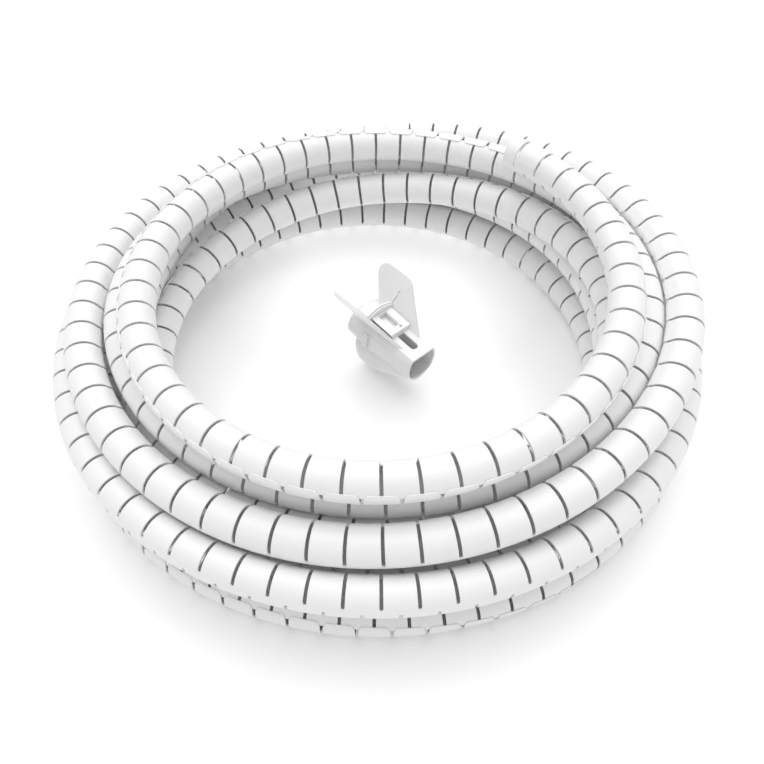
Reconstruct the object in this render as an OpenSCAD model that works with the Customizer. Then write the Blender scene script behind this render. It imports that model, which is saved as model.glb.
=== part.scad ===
// Coil of slit cable tube with its threading tool.
// Origin: middle of the coil's outline, on the floor it lies on. +Z is up, -Y is the front.

/* [Tube] */
// Outside diameter of the tube
tube_od = 22; // [22:0.5:22.5]
// Wall thickness of the tube
tube_wall = 1.1; // [0.8:0.1:1.6]
// Distance from one slit to the next along the tube
rib_pitch = 18.4; // [17.5:0.1:19]
// Width of a slit across the tube
slit_w = 1.9; // [1.6:0.1:2.2]
// Distance from the cut end to the middle of the first slit
first_slit = 10; // [8:0.5:13]
// Azimuth of the tube's free end, measured from +X towards +Y
end_azimuth = 51.5; // [48:0.5:55]

/* [Threading tool] */
// Length of the tool from the neck to the mouth
tool_len = 59; // [56:0.5:62]
// Height of the mouth's deck edge above the floor
tool_h = 44; // [44:0.5:48]
// Wall thickness of the tool's shell
tool_wall = 1.6; // [1.4:0.1:1.8]
// Outside radius of the tool's neck
neck_r = 14; // [13.8:0.1:14.2]
// Lean of each wing away from upright
wing_lean = 38; // [35:0.5:40]
// Direction the mouth points in, measured from +X towards +Y
tool_azimuth = -48; // [-60:0.5:-40]

/* [Hidden] */

$fn = 64;
TUBE = "white";
TOOL = "whitesmoke";

// From the middle of the coil's outline to the axis the turns go round
axis_spot = [1.06, -11.55];

module about_axis() {
    translate([axis_spot[0], axis_spot[1], 0])
        children();
}

// ---- how the tube lies ----
// Each pair is the centreline's radius and height, in tube diameters.
// A row is one turn: at the right, the front, the left and the back.
LEAD_IN = [[6.50, 4.75], [6.50, 4.85]];
TURNS = [
    [[6.60, 4.80], [6.70, 4.50], [6.70, 4.25], [6.80, 3.95]],
    [[7.40, 3.85], [6.30, 3.15], [7.35, 3.45], [7.30, 3.05]],
    [[7.90, 2.75], [7.00, 2.35], [7.35, 2.30], [8.70, 2.90]],
    [[8.40, 4.05], [7.65, 3.25], [8.55, 3.10], [9.55, 2.15]],
    [[8.85, 2.25], [8.50, 2.45], [9.05, 2.20], [9.40, 0.95]],
    [[8.95, 1.00], [8.20, 0.55], [8.90, 0.65], [8.45, 0.55]],
    [[8.00, 1.45], [7.90, 1.60], [8.25, 1.45], [7.75, 1.60]],
    [[6.85, 1.95], [7.10, 0.80], [7.65, 0.55], [7.40, 0.60]],
    [[6.85, 0.55], [6.00, 0.60], [6.85, 1.40], [6.25, 2.55]],
    [[6.75, 3.05], [6.00, 1.90], [6.10, 2.10], [6.10, 2.30]]
];
LAY = concat(LEAD_IN, [for (turn = TURNS) for (side = turn) side]);
// Turns from the lead-in's second pair, at azimuth 90, to the free end
lead_turns = (90 - end_azimuth) / 360;
// Turns of tube in the whole coil
coil_turns = 9.44;
// Each turn is drawn in this many spans, and each span as two lengths of tube.
// A length is two ribs long, and a slit parts it from the next.
spans_per_turn = 13;

function smooth(a, b, c, d, s) =
    b + s * (c - a) / 2 + s * s * (a - 2.5 * b + 2 * c - d / 2)
    + s * s * s * (-a / 2 + 1.5 * b - 1.5 * c + d / 2);

function lay(quarter) =
    let (i = min(max(floor(quarter), 1), len(LAY) - 3))
    smooth(LAY[i - 1], LAY[i], LAY[i + 1], LAY[i + 2], quarter - i);

// Point on the tube's centreline, u turns along it from the free end
function centre(u) =
    let (p = lay(1 + 4 * (u + lead_turns)) * tube_od, az = end_azimuth - 360 * u)
    [p[0] * cos(az), p[0] * sin(az), p[1]];

probe = 0.0005;
function heading(u) = unit(centre(u + probe) - centre(u - probe));
function unit(v) = v / norm(v);

// ---- tube made of exact arcs ----
module ring_section(r_out, r_in) {
    difference() {
        circle(r = r_out);
        circle(r = r_in);
    }
}

// One circular arc of tube from point a, heading along t, to point b
module arc_tube(a, t, b) {
    chord = b - a;
    side = unit(chord - t * (chord * t));
    r = (chord * chord) / (2 * (chord * side));
    turn = 2 * atan2(chord * side, chord * t);
    c = a + side * r;
    up = cross(t, side);
    multmatrix([
        [-side[0], t[0], up[0], c[0]],
        [-side[1], t[1], up[1], c[1]],
        [-side[2], t[2], up[2], c[2]],
        [0, 0, 0, 1]
    ])
        rotate_extrude(angle = turn - slit_w / r * 180 / PI)
            translate([r, 0])
                ring_section(tube_od / 2, tube_od / 2 - tube_wall);
}

// Two arcs that leave one point and meet the next, both along the tube
module arc_pair(u0, u1) {
    a = centre(u0);
    b = centre(u1);
    ta = heading(u0);
    tb = heading(u1);
    v = b - a;
    bend = 2 * (1 - ta * tb);
    along = v * (ta + tb);
    d = (sqrt(along * along + 2 * bend * (v * v)) - along) / (2 * bend);
    mid = (a + ta * d + b - tb * d) / 2;
    mid_t = unit((b - tb * d) - (a + ta * d));
    arc_tube(a, ta, mid);
    arc_tube(mid, mid_t, b);
}

module tube_span(u0, u1) {
    n = ceil((u1 - u0) * spans_per_turn);
    for (i = [0 : n - 1])
        arc_pair(u0 + (u1 - u0) * i / n, u0 + (u1 - u0) * (i + 1) / n);
}

// ---- free end ----
end_ribs = 6;
turn_len = 2 * PI * norm([centre(0)[0], centre(0)[1]]);

// Far side of slit i, in turns from the free end
function slit_end(i) = (first_slit + (i - 1) * rib_pitch + slit_w / 2) / turn_len;

module end_rib(i) {
    u0 = i == 1 ? 0 : slit_end(i - 1);
    arc_tube(centre(u0), heading(u0), centre(slit_end(i)));
}

module end_rib_1() { color(TUBE) about_axis() end_rib(1); }
module end_rib_2() { color(TUBE) about_axis() end_rib(2); }
module end_rib_3() { color(TUBE) about_axis() end_rib(3); }
module end_rib_4() { color(TUBE) about_axis() end_rib(4); }
module end_rib_5() { color(TUBE) about_axis() end_rib(5); }
module end_rib_6() { color(TUBE) about_axis() end_rib(6); }

// ---- coil ----
module coil_turn_1() { color(TUBE) about_axis() tube_span(slit_end(end_ribs), 1); }
module coil_turn_2() { color(TUBE) about_axis() tube_span(1, 2); }
module coil_turn_3() { color(TUBE) about_axis() tube_span(2, 3); }
module coil_turn_4() { color(TUBE) about_axis() tube_span(3, 4); }
module coil_turn_5() { color(TUBE) about_axis() tube_span(4, 5); }
module coil_turn_6() { color(TUBE) about_axis() tube_span(5, 6); }
module coil_turn_7() { color(TUBE) about_axis() tube_span(6, 7); }
module coil_turn_8() { color(TUBE) about_axis() tube_span(7, 8); }
module coil_turn_9() { color(TUBE) about_axis() tube_span(8, 9); }
module coil_tail() { color(TUBE) about_axis() tube_span(9, coil_turns); }

// ---- threading tool ----
// Drawn with X from the neck to the mouth, Y to its left and Z up from its deck.
mouth_spot = [27.3, -17.2];
tool_roll = -2.3;
tool_pitch = 4;
half_gap = 0.1;
slice_t = 0.02;
deck_half_w = 9.4;
mouth_half_w = 12.4;
mouth_depth = 25;
body_half_w = 14.8;
body_depth = 30;
neck_start = 1;
neck_end = 16.1;
neck_deck_start = 3;
ring_step = 1.3;
rim_slit_w = 0.7;
rim_slit_floor = -10;
collar_r = 18;
collar_top = 8.7;
wing_base_y = 6.6;
wing_t = 1.9;
wing_start = 8;
wing_end = 47.4;
wing_slit_h = 17.3;
wing_slit_step = 0.1;
latch_start = 17.8;
latch_end = 36.8;
latch_t = 4;
latch_lift = 0.15;
latch_foot_w = 6.3;
latch_top_w = 8.5;
window_start = 18.8;
window_end = 32.3;
window_right = -3.9;
window_left = 3;
pin_hole_d = 1.8;
catch_h = 1;
slot_w = 5.8;
slot_end = 52.5;
clip_d = 4.6;
clip_hole_d = 1.6;

module at_tool() {
    about_axis()
        translate([mouth_spot[0], mouth_spot[1], tool_h])
            rotate([tool_roll, tool_pitch, tool_azimuth])
                translate([-tool_len, 0, 0])
                    children();
}

// A cylinder along the tool
module along_tool(r, x0, x1) {
    translate([x0, 0, -neck_r])
        rotate([0, 90, 0])
            cylinder(r = r, h = x1 - x0);
}

// A thin slice across the tool, its outline drawn as [left, up]
module slice_at(x) {
    translate([x, 0, 0])
        rotate([90, 0, 90])
            linear_extrude(height = slice_t)
                children();
}

// Oval outline cut flat at the deck
module deck_oval(half_w, depth, shrink) {
    share = sqrt(1 - pow(deck_half_w / half_w, 2));
    half_h = depth / (1 + share);
    intersection() {
        translate([0, half_h - depth])
            scale([half_w - shrink, half_h - shrink])
                circle(r = 1);
        translate([-half_w, -depth - shrink])
            square([2 * half_w, depth]);
    }
}

// Outline of the keel between two heights
module keel_oval(half_w, low, high, shrink) {
    translate([0, (low + high) / 2])
        scale([half_w - shrink, (high - low) / 2 - shrink])
            circle(r = 1);
}

// Tapered body below the deck, open towards the mouth
module body_shape(shrink, stretch) {
    hull() {
        slice_at(neck_end + shrink) deck_oval(body_half_w, body_depth, shrink);
        slice_at(tool_len + stretch - slice_t) deck_oval(mouth_half_w, mouth_depth, shrink);
    }
}

// Boat-shaped keel, from its heel under the neck to the mouth.
// Each row is the distance along the tool, half the width, the bottom and the top.
KEEL = [
    [4.8, 9.2, -36, -22.7],
    [7, 11.4, -39.5, -20.6],
    [10.3, 13.4, -42.7, -18],
    [14, 14.6, -45, -15.8],
    [22, 14.5, -46.1, -12.9],
    [30, 13.9, -43.2, -10.2],
    [38, 13, -38.6, -7.9]
];

module keel_shape(shrink, stretch) {
    hull() {
        slice_at(3 + shrink) keel_oval(6, -32, -25, shrink);
        for (row = KEEL)
            slice_at(row[0]) keel_oval(row[1], row[2], row[3], shrink);
        slice_at(tool_len + stretch - slice_t)
            keel_oval(mouth_half_w - 1, 1 - mouth_depth, -6, shrink);
    }
}

module shell() {
    difference() {
        union() {
            difference() {
                union() {
                    body_shape(0, 0);
                    keel_shape(0, 0);
                }
                body_shape(tool_wall, 0.04);
                keel_shape(tool_wall, 0.04);
            }
            along_tool(neck_r, neck_start, neck_end);
            neck_deck();
            collar(neck_end - 1.5, 1.5);
            collar(neck_end + rim_slit_w, 0.8);
        }
        // the channel the tube runs through
        along_tool(neck_r - tool_wall, neck_start - 5, neck_end);
        along_tool(neck_r - ring_step, neck_end, neck_end + tool_wall + 0.2);
        rim_slit();
        deck_slot();
    }
}

// Flat top of the neck, level with the deck
module neck_deck() {
    translate([neck_deck_start, -deck_half_w, -5])
        cube([neck_end - neck_deck_start, 2 * deck_half_w, 5]);
}

// Arch that stands above the deck between the wings
module collar(x, t) {
    top_w = wing_base_y + collar_top * tan(wing_lean) + 0.5;
    translate([x, 0, 0])
        rotate([90, 0, 90])
            linear_extrude(height = t)
                intersection() {
                    translate([0, collar_top - collar_r])
                        circle(r = collar_r);
                    polygon([
                        [-wing_base_y, -0.6],
                        [wing_base_y, -0.6],
                        [top_w, collar_top],
                        [-top_w, collar_top]
                    ]);
                }
}

// Gap that parts the neck from the body, down both flanks
module rim_slit() {
    reach = 2 * body_half_w;
    translate([neck_end, -reach, rim_slit_floor])
        cube([rim_slit_w, 2 * reach, collar_top - rim_slit_floor + 1]);
}

module deck_slot() {
    depth = tool_wall + 3;
    translate([latch_end, -slot_w / 2, -depth])
        cube([slot_end - slot_w / 2 - latch_end, slot_w, depth + 2]);
    translate([slot_end - slot_w / 2, 0, -depth])
        cylinder(d = slot_w, h = depth + 2);
}

// The left wing; the right one is its mirror image
module wing() {
    translate([0, wing_base_y, -0.4])
        rotate([90 - wing_lean, 0, 0])
            translate([0, 0, -wing_t])
                difference() {
                    linear_extrude(height = wing_t)
                        hull() {
                            translate([wing_start, 0])
                                square([wing_end - wing_start, 0.5]);
                            translate([-0.6, 20.5])
                                circle(r = 6);
                            translate([15, 17.4])
                                circle(r = 10);
                        }
                    translate([neck_end - wing_slit_step, -1, -1])
                        cube([rim_slit_w + 2 * wing_slit_step, wing_slit_h + 1, wing_t + 2]);
                }
}

module left_side() {
    translate([-20, half_gap / 2, -60])
        cube([tool_len + 40, 60, 100]);
}

// Half of the shell with its wing
module left_shell() {
    intersection() {
        shell();
        left_side();
    }
    wing();
}

module tool_left_half() {
    color(TOOL)
        at_tool()
            left_shell();
}

module tool_right_half() {
    color(TOOL)
        at_tool() {
            mirror([0, 1, 0])
                left_shell();
            latch_catch();
            side_clip();
        }
}

// Foot on the right half's deck, with a nose reaching over the parting line
module latch_catch() {
    start = window_start + 2;
    len = window_end - window_start - 4;
    translate([start, -3.2, -0.5])
        cube([len, 3.2 - half_gap / 2, catch_h + 0.5]);
    translate([start, -3.2, 0.3])
        cube([len, 4, catch_h - 0.3]);
}

// Two small knuckles on the right flank beside the rim
module side_clip() {
    for (z = [-8, -13.5])
        translate([neck_end + 2.9, -body_half_w, z])
            rotate([0, 90, 0])
                difference() {
                    cylinder(d = clip_d, h = 3.5);
                    translate([0, 0, -1])
                        cylinder(d = clip_hole_d, h = 6);
                }
}

module tool_latch() {
    color(TOOL)
        at_tool()
            difference() {
                translate([latch_start, 0, latch_lift])
                    rotate([90, 0, 90])
                        linear_extrude(height = latch_end - latch_start)
                            polygon([
                                [-latch_foot_w, 0],
                                [latch_foot_w, 0],
                                [latch_top_w, latch_t],
                                [-latch_top_w, latch_t]
                            ]);
                translate([window_start, window_right, -1])
                    cube([window_end - window_start, window_left - window_right, latch_t + 3]);
                translate([window_end + 1.8, 2.4, 2])
                    cylinder(d = pin_hole_d, h = latch_t);
            }
}

coil_turn_1();
coil_turn_2();
coil_turn_3();
coil_turn_4();
coil_turn_5();
coil_turn_6();
coil_turn_7();
coil_turn_8();
coil_turn_9();
coil_tail();
end_rib_1();
end_rib_2();
end_rib_3();
end_rib_4();
end_rib_5();
end_rib_6();
tool_left_half();
tool_right_half();
tool_latch();
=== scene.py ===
"""Coil of slit cable tube with its threading tool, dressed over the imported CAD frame."""

import math

import bpy
import numpy as np
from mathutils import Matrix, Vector


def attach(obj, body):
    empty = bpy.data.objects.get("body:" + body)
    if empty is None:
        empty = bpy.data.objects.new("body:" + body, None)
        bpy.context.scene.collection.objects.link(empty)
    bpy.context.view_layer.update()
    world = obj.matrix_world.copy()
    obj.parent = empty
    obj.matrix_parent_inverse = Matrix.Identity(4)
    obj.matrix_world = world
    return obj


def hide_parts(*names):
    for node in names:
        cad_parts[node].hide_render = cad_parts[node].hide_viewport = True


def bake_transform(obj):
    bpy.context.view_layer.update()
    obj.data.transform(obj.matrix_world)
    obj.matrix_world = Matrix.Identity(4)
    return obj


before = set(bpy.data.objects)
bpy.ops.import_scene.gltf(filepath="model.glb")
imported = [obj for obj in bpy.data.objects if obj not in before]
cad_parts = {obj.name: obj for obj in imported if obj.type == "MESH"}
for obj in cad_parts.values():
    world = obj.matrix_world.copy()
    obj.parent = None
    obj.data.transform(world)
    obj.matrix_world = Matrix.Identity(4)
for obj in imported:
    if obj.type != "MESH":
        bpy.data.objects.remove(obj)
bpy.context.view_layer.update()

MM = 0.001

# ---- tube, in millimetres ----
TUBE_OD = 22.0
TUBE_R = TUBE_OD / 2
TUBE_WALL = 1.1
RIB_PITCH = 18.4
SLIT_W = 1.9
FIRST_SLIT = 10.0
END_AZIMUTH = 51.5
COIL_TURNS = 9.44
FULL_TURNS = 9
PATH_POINTS = 6000
END_RIBS = 6
AXIS_SPOT = np.array([1.06, -11.55, 0.0])

# Centreline radius and height in tube diameters. A row is one turn: right, front, left, back.
LEAD_IN = [(6.50, 4.75), (6.50, 4.85)]
TURNS = [
    [(6.60, 4.80), (6.70, 4.50), (6.70, 4.25), (6.80, 3.95)],
    [(7.40, 3.85), (6.30, 3.15), (7.35, 3.45), (7.30, 3.05)],
    [(7.90, 2.75), (7.00, 2.35), (7.35, 2.30), (8.70, 2.90)],
    [(8.40, 4.05), (7.65, 3.25), (8.55, 3.10), (9.55, 2.15)],
    [(8.85, 2.25), (8.50, 2.45), (9.05, 2.20), (9.40, 0.95)],
    [(8.95, 1.00), (8.20, 0.55), (8.90, 0.65), (8.45, 0.55)],
    [(8.00, 1.45), (7.90, 1.60), (8.25, 1.45), (7.75, 1.60)],
    [(6.85, 1.95), (7.10, 0.80), (7.65, 0.55), (7.40, 0.60)],
    [(6.85, 0.55), (6.00, 0.60), (6.85, 1.40), (6.25, 2.55)],
    [(6.75, 3.05), (6.00, 1.90), (6.10, 2.10), (6.10, 2.30)],
]
# How far the seam is turned up from facing outward, in degrees: right, front, left, back.
SEAM_START = (45, 42)
SEAM_TURNS = [
    [-12, 10, 27, 92],
    [100, 105, 110, 120],
    [130, 140, 145, 150],
    [158, 165, 170, 180],
    [188, 196, 205, 225],
    [265, 384, 382, 376],
    [370, 360, 350, 340],
    [330, 345, 365, 388],
    [395, 400, 405, 410],
    [415, 420, 420, 420],
]


def spline(a, b, c, d, s):
    return (
        b
        + s * (c - a) / 2
        + s * s * (a - 2.5 * b + 2 * c - d / 2)
        + s**3 * (-a / 2 + 1.5 * b - 1.5 * c + d / 2)
    )


def quarter_spline(knots, turns):
    """Values at these turns from the free end, from knots a quarter turn apart."""
    knots = np.asarray(knots, float)
    quarter = 1 + 4 * (np.asarray(turns) + (90 - END_AZIMUTH) / 360)
    i = np.clip(np.floor(quarter).astype(int), 1, len(knots) - 3)
    s = (quarter - i).reshape(-1, *[1] * (knots.ndim - 1))
    return spline(knots[i - 1], knots[i], knots[i + 1], knots[i + 2], s)


class Path:
    """The coil's centreline by distance from the free end, with the seam's direction."""

    def __init__(self):
        turns = np.linspace(0, COIL_TURNS, PATH_POINTS)
        lay = quarter_spline(LEAD_IN + [side for turn in TURNS for side in turn], turns)
        seam_knots = list(SEAM_START) + [side for turn in SEAM_TURNS for side in turn]
        azimuth = np.radians(END_AZIMUTH - 360 * turns)
        r = lay[:, 0] * TUBE_OD
        x, y = r * np.cos(azimuth), r * np.sin(azimuth)
        self.point = np.stack([x, y, lay[:, 1] * TUBE_OD], -1)
        step = np.linalg.norm(np.diff(self.point, axis=0), axis=1)
        self.s = np.concatenate([[0], np.cumsum(step)])
        self.turns = turns
        self.tangent = np.gradient(self.point, self.s, axis=0)
        self.seam = np.radians(quarter_spline(seam_knots, turns))
        self.length = self.s[-1]

    def at(self, s):
        def look(values):
            return np.stack([np.interp(s, self.s, column) for column in values.T], -1)

        point = look(self.point)
        along = look(self.tangent)
        along /= np.linalg.norm(along, axis=-1, keepdims=True)
        out = point * [1, 1, 0]
        out -= along * (out * along).sum(-1, keepdims=True)
        out /= np.linalg.norm(out, axis=-1, keepdims=True)
        up = np.cross(out, along)
        up *= np.sign(up[..., 2:3])
        return point, out, up, np.interp(s, self.s, self.seam)

    def distance(self, turns):
        return float(np.interp(turns, self.turns, self.s))


PATH = Path()


# ---- mesh helpers ----
SHARP_DEG = 35


def new_mesh(name, points, faces):
    mesh = bpy.data.meshes.new(name)
    mesh.from_pydata(np.asarray(points).tolist(), [], [list(map(int, f)) for f in faces])
    mesh.validate()
    mesh.update()
    mesh.shade_smooth()
    mesh.set_sharp_from_angle(angle=math.radians(SHARP_DEG))
    obj = bpy.data.objects.new(name, mesh)
    bpy.context.scene.collection.objects.link(obj)
    return obj


def shell_faces(present):
    """Faces of a thin shell over a grid of cells: outer points first, then inner ones."""
    rows, cols = present.shape
    width = cols + 1
    count = (rows + 1) * width

    def corner(i, j):
        return i * width + j

    i, j = np.nonzero(present)
    a, b = corner(i, j), corner(i, j + 1)
    c, d = corner(i + 1, j + 1), corner(i + 1, j)
    outer = np.stack([a, b, c, d], -1)
    inner = np.stack([d, c, b, a], -1) + count
    padded = np.pad(present, 1)
    walls = []
    for di, dj, p, q in ((-1, 0, a, b), (1, 0, c, d), (0, 1, b, c), (0, -1, d, a)):
        edge = ~padded[i + 1 + di, j + 1 + dj]
        p, q = p[edge], q[edge]
        walls.append(np.stack([q, p, p + count, q + count], -1))
    return np.concatenate([outer, inner, *walls])


# ---- slit tube ----
SPINE_HALF = 7.0
SEAM_RISE = 14.0
TAB_H = 2.2
TAB_EDGE = 0.70
TAB_LIFT = 0.75
TAB_GAP = 0.05
TAB_ROOT_DEG = 1.0
TAB_LIFTED_DEG = 2
TAB_MIDDLE = 0.5
TAB_MIDDLE_NARROWS = 0.35
ROWS_A = 15
ROWS_B = 14
END_MARGIN = 0.05
SLIT_STEPS = np.array([-1, -0.6, 0, 0.6, 1])


def slit_lines(first, s0, s1):
    """Distances of a slit set's centres between s0 and s1."""
    k0 = math.floor((s0 - first) / RIB_PITCH) - 1
    k1 = math.ceil((s1 - first) / RIB_PITCH) + 1
    return first + RIB_PITCH * np.arange(k0, k1 + 1)


def tube_piece(name, s0, s1, sides="both"):
    """The tube between two distances, slit from the seam to the spine on alternating sides."""
    slits_a = slit_lines(FIRST_SLIT, s0, s1)
    slits_b = slits_a + RIB_PITCH / 2
    centres = np.concatenate([slits_a, slits_b])
    lines = (centres[:, None] + SLIT_W / 2 * SLIT_STEPS).ravel()
    inner = {round(float(s), 6) for s in lines if s0 + END_MARGIN < s < s1 - END_MARGIN}
    s = np.array(sorted(inner | {s0, s1}))
    mid = (s[1:] + s[:-1]) / 2

    def offset(values, centres):
        nearest = centres[np.abs(values[:, None] - centres[None]).argmin(1)]
        return values - nearest, nearest

    off_a, _ = offset(s, slits_a)
    off_b, _ = offset(s, slits_b)
    cut_a = np.abs(offset(mid, slits_a)[0]) < SLIT_W / 2
    cut_b = np.abs(offset(mid, slits_b)[0]) < SLIT_W / 2

    # angles round the tube: 0 at the seam's plain edge, 180 on the spine, 360 at the tabs
    end_a = 180 - SPINE_HALF
    end_b = 180 + SPINE_HALF
    tab_deg = math.degrees(TAB_H / TUBE_R)
    rows_a = np.linspace(0, end_a, ROWS_A)
    rows_b = np.linspace(end_b, 360 - SEAM_RISE, ROWS_B)
    rise = [360 - SEAM_RISE / 2, 360 - TAB_ROOT_DEG]
    tab = [360 + tab_deg * TAB_MIDDLE, 360 + tab_deg]
    rows = np.concatenate([rows_a, [180], rows_b, rise, tab])
    angle = np.repeat(rows[:, None], len(s), 1)
    round_end = math.degrees(SLIT_W / 2 / TUBE_R)

    def rounding(off):
        x = np.clip(np.abs(off) / (SLIT_W / 2), 0, 1)
        return round_end * (1 - np.sqrt(1 - x * x))

    row_a = len(rows_a) - 1
    row_b = len(rows_a) + 1
    angle[row_a] -= rounding(off_a)
    angle[row_b] += rounding(off_b)

    along = np.repeat(s[None], len(rows), 0)
    # tabs: the last rows draw in towards the middle of each rib of the second side
    _, rib = offset(s, slits_a)
    half_full = (RIB_PITCH - SLIT_W) / 2
    half_edge = RIB_PITCH * TAB_EDGE / 2
    for row, part in ((len(rows) - 2, TAB_MIDDLE_NARROWS), (len(rows) - 1, 1.0)):
        squeeze = 1 + (half_edge / half_full - 1) * part
        inside = np.abs(s - rib) <= half_full + 1e-6
        along[row] = np.where(inside, rib + (s - rib) * squeeze, s)
    along = np.clip(along, s0, s1)

    ramp = [360 - SEAM_RISE, 360 - TAB_LIFTED_DEG]
    lift = np.interp(angle, ramp, [0, TAB_LIFT])
    raise_in = np.interp(angle, ramp, [0, TUBE_WALL + TAB_GAP])
    outer_r = TUBE_R + lift
    inner_r = TUBE_R - TUBE_WALL + raise_in

    present = np.ones((len(rows) - 1, len(s) - 1), bool)
    present[:row_a, cut_a] = False
    present[row_b:, cut_b] = False
    if sides == "a":
        present[row_b:] = False
    if sides == "b":
        present[:row_b] = False

    point, out, up, seam = PATH.at(along.ravel())
    turn = seam + np.radians(angle.ravel())
    radial = out * np.cos(turn)[:, None] + up * np.sin(turn)[:, None]
    outer = point + radial * outer_r.ravel()[:, None]
    inner = point + radial * inner_r.ravel()[:, None]
    faces = shell_faces(present)
    used = np.unique(faces)
    remap = np.zeros(2 * len(outer), int)
    remap[used] = np.arange(len(used))
    points = np.concatenate([outer, inner])[used] * MM
    return new_mesh(name, points + AXIS_SPOT * MM, remap[faces])


# ---- materials ----
def shader(name):
    material = bpy.data.materials.new(name)
    material.use_nodes = True
    nodes = material.node_tree.nodes
    links = material.node_tree.links
    return material, nodes, links, nodes["Principled BSDF"]


def noise(nodes, links, coords, scale, detail=4.0):
    texture = nodes.new("ShaderNodeTexNoise")
    texture.inputs["Scale"].default_value = scale
    texture.inputs["Detail"].default_value = detail
    links.new(coords.outputs["Object"], texture.inputs["Vector"])
    return texture.outputs["Fac"]


def remap_range(nodes, links, value, low, high, start=0.0, stop=1.0):
    node = nodes.new("ShaderNodeMapRange")
    node.inputs["From Min"].default_value = start
    node.inputs["From Max"].default_value = stop
    node.inputs["To Min"].default_value = low
    node.inputs["To Max"].default_value = high
    links.new(value, node.inputs["Value"])
    return node.outputs["Result"]


def plastic(name, light, dark, rough_low, rough_high, bump):
    """Moulded plastic: mottled tone, uneven gloss, fine grain and edges worn brighter."""
    material, nodes, links, bsdf = shader(name)
    coords = nodes.new("ShaderNodeTexCoord")
    cloud = noise(nodes, links, coords, 18)
    grain = noise(nodes, links, coords, 900, 2)
    tone = nodes.new("ShaderNodeMix")
    tone.data_type = "RGBA"
    tone.inputs["A"].default_value = (*dark, 1)
    tone.inputs["B"].default_value = (*light, 1)
    links.new(cloud, tone.inputs["Factor"])
    geometry = nodes.new("ShaderNodeNewGeometry")
    edge = nodes.new("ShaderNodeMapRange")
    edge.inputs["From Min"].default_value = 0.52
    edge.inputs["From Max"].default_value = 0.60
    edge.inputs["To Max"].default_value = 0.5
    links.new(geometry.outputs["Pointiness"], edge.inputs["Value"])
    worn = nodes.new("ShaderNodeMix")
    worn.data_type = "RGBA"
    worn.inputs["B"].default_value = (0.95, 0.95, 0.95, 1)
    links.new(tone.outputs["Result"], worn.inputs["A"])
    links.new(edge.outputs["Result"], worn.inputs["Factor"])
    links.new(worn.outputs["Result"], bsdf.inputs["Base Color"])
    links.new(remap_range(nodes, links, cloud, rough_low, rough_high), bsdf.inputs["Roughness"])
    bumper = nodes.new("ShaderNodeBump")
    bumper.inputs["Strength"].default_value = bump
    bumper.inputs["Distance"].default_value = 0.0002
    links.new(grain, bumper.inputs["Height"])
    links.new(bumper.outputs["Normal"], bsdf.inputs["Normal"])
    return material


TUBE_WHITE = plastic("tube_white", (0.93, 0.93, 0.93), (0.90, 0.90, 0.90), 0.30, 0.42, 0.10)
TOOL_WHITE = plastic("tool_white", (0.84, 0.84, 0.85), (0.80, 0.80, 0.81), 0.34, 0.46, 0.14)


def dress(obj, material):
    obj.data.materials.clear()
    obj.data.materials.append(material)


def tube_on_body(obj, body, node):
    """A piece of tube that rides a body and stands for a CAD node."""
    dress(obj, TUBE_WHITE)
    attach(obj, body)
    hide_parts(node)


# ---- the coil ----
BEND_HALF = 4.0  # distance each way from a slit to the centreline points taken for a rib across a joint; nothing uses them


def slit_at(i):
    """Distance from the free end to the middle of slit i."""
    return FIRST_SLIT + (i - 1) * RIB_PITCH


def row_point(s):
    """The centreline's point at this distance, in metres in the shared frame."""
    point, _, _, _ = PATH.at(np.array([s]))
    return tuple((point[0] + AXIS_SPOT) * MM)


def build_coil():
    start = slit_at(END_RIBS)
    first_rib = start + RIB_PITCH / 2
    root = tube_piece("slit_tube_start", start, first_rib, sides="a")
    tube_on_body(root, "coil", "coil_turn_1")
    turn_ends = [PATH.distance(turn) for turn in range(1, FULL_TURNS + 1)]
    ends = [first_rib, *turn_ends, PATH.length]
    for i, (s0, s1) in enumerate(zip(ends, ends[1:]), start=1):
        node = f"coil_turn_{i}" if i <= FULL_TURNS else "coil_tail"
        tube_on_body(tube_piece(f"slit_tube_{i}", s0, s1), "coil", node)


def build_free_end():
    """Ribs of the first side ride the bodies; those of the second side are baked where they
    lie, on no body.
    """
    for i in range(1, END_RIBS + 1):
        s0 = 0.0 if i == 1 else slit_at(i - 1)
        skin = tube_piece(f"end_rib_skin_{i}", s0, slit_at(i), sides="a")
        tube_on_body(skin, f"end_rib_{i}", f"end_rib_{i}")
        reach = RIB_PITCH / 2
        tab = tube_piece(f"end_tab_rib_{i}", slit_at(i) - reach, slit_at(i) + reach, sides="b")
        dress(tab, TUBE_WHITE)
        start = row_point(slit_at(i) - BEND_HALF)
        end = row_point(slit_at(i) + BEND_HALF)
        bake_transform(tab)


# ---- the tool ----
TOOL_EDGE = 0.4


def dress_tool():
    """The tool is the CAD's own meshes, with its material and softened edges."""
    for node in ("tool_left_half", "tool_right_half", "tool_latch"):
        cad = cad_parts[node]
        dress(cad, TOOL_WHITE)
        bevel = cad.modifiers.new("soft_edges", "BEVEL")
        bevel.width = TOOL_EDGE * MM
        bevel.segments = 2
        bevel.limit_method = "ANGLE"
        bevel.angle_limit = math.radians(SHARP_DEG)


build_coil()
build_free_end()
dress_tool()


# ---- floor, light and camera ----
FLOOR_WHITE = 0.93
FLOOR_HALF = 6.0
FLOOR_DROP = 0.0002
# the floor gives off some light, and more of it near this spot behind the tool
GLOW_SPOT = (0.0, 0.13, 0.0)
GLOW_NEAR = 0.06
GLOW_FAR = 0.15
GLOW_MOST = 0.34
GLOW_LEAST = 0.10
WORLD_LIGHT = 0.68
CAMERA_SPOT = Vector((0.0005, -0.3562, 0.4397))
CAMERA_DOWN_DEG = 51.38
CAMERA_LENS = 37.84


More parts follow.
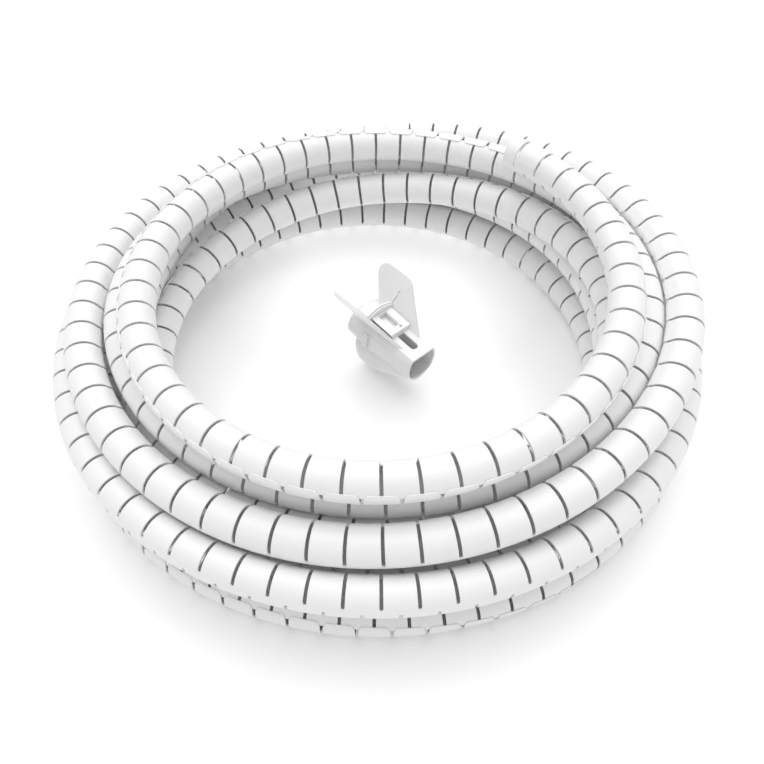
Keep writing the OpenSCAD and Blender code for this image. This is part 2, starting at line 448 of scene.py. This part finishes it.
def floor():
    material, nodes, links, bsdf = shader("floor_white")
    coords = nodes.new("ShaderNodeTexCoord")
    cloud = noise(nodes, links, coords, 3)
    bsdf.inputs["Base Color"].default_value = (FLOOR_WHITE, FLOOR_WHITE, FLOOR_WHITE, 1)
    bsdf.inputs["Emission Color"].default_value = (1, 1, 1, 1)
    distance = nodes.new("ShaderNodeVectorMath")
    distance.operation = "DISTANCE"
    distance.inputs[1].default_value = GLOW_SPOT
    links.new(coords.outputs["Object"], distance.inputs[0])
    away = distance.outputs["Value"]
    glow = remap_range(nodes, links, away, GLOW_MOST, GLOW_LEAST, GLOW_NEAR, GLOW_FAR)
    links.new(glow, bsdf.inputs["Emission Strength"])
    links.new(remap_range(nodes, links, cloud, 0.28, 0.32), bsdf.inputs["Roughness"])
    half = FLOOR_HALF
    points = [(-half, -half, 0), (half, -half, 0), (half, half, 0), (-half, half, 0)]
    plane = new_mesh("floor", points, [(0, 1, 2, 3)])
    plane.location.z = -FLOOR_DROP
    plane.data.materials.append(material)


def soft_sun(name, lean_deg, spread_deg, strength):
    light = bpy.data.lights.new(name, "SUN")
    light.angle = math.radians(spread_deg)
    light.energy = strength
    obj = bpy.data.objects.new(name, light)
    obj.location = (0, 0, 1)
    obj.rotation_euler = (math.radians(lean_deg), 0, 0)
    bpy.context.scene.collection.objects.link(obj)


def studio():
    world = bpy.data.worlds.new("studio")
    world.use_nodes = True
    background = world.node_tree.nodes["Background"]
    background.inputs["Color"].default_value = (1, 1, 1, 1)
    background.inputs["Strength"].default_value = WORLD_LIGHT
    bpy.context.scene.world = world
    soft_sun("overhead", lean_deg=-18, spread_deg=70, strength=1.45)
    bpy.context.scene.view_settings.view_transform = "Standard"


def camera():
    data = bpy.data.cameras.new("camera")
    data.sensor_width = 36.0
    data.lens = CAMERA_LENS
    data.clip_start = 0.01
    data.clip_end = 50
    obj = bpy.data.objects.new("camera", data)
    obj.location = CAMERA_SPOT + Vector(AXIS_SPOT * MM)
    obj.rotation_euler = (math.radians(90 - CAMERA_DOWN_DEG), 0, 0)
    bpy.context.scene.collection.objects.link(obj)
    bpy.context.scene.camera = obj


floor()
studio()
camera()
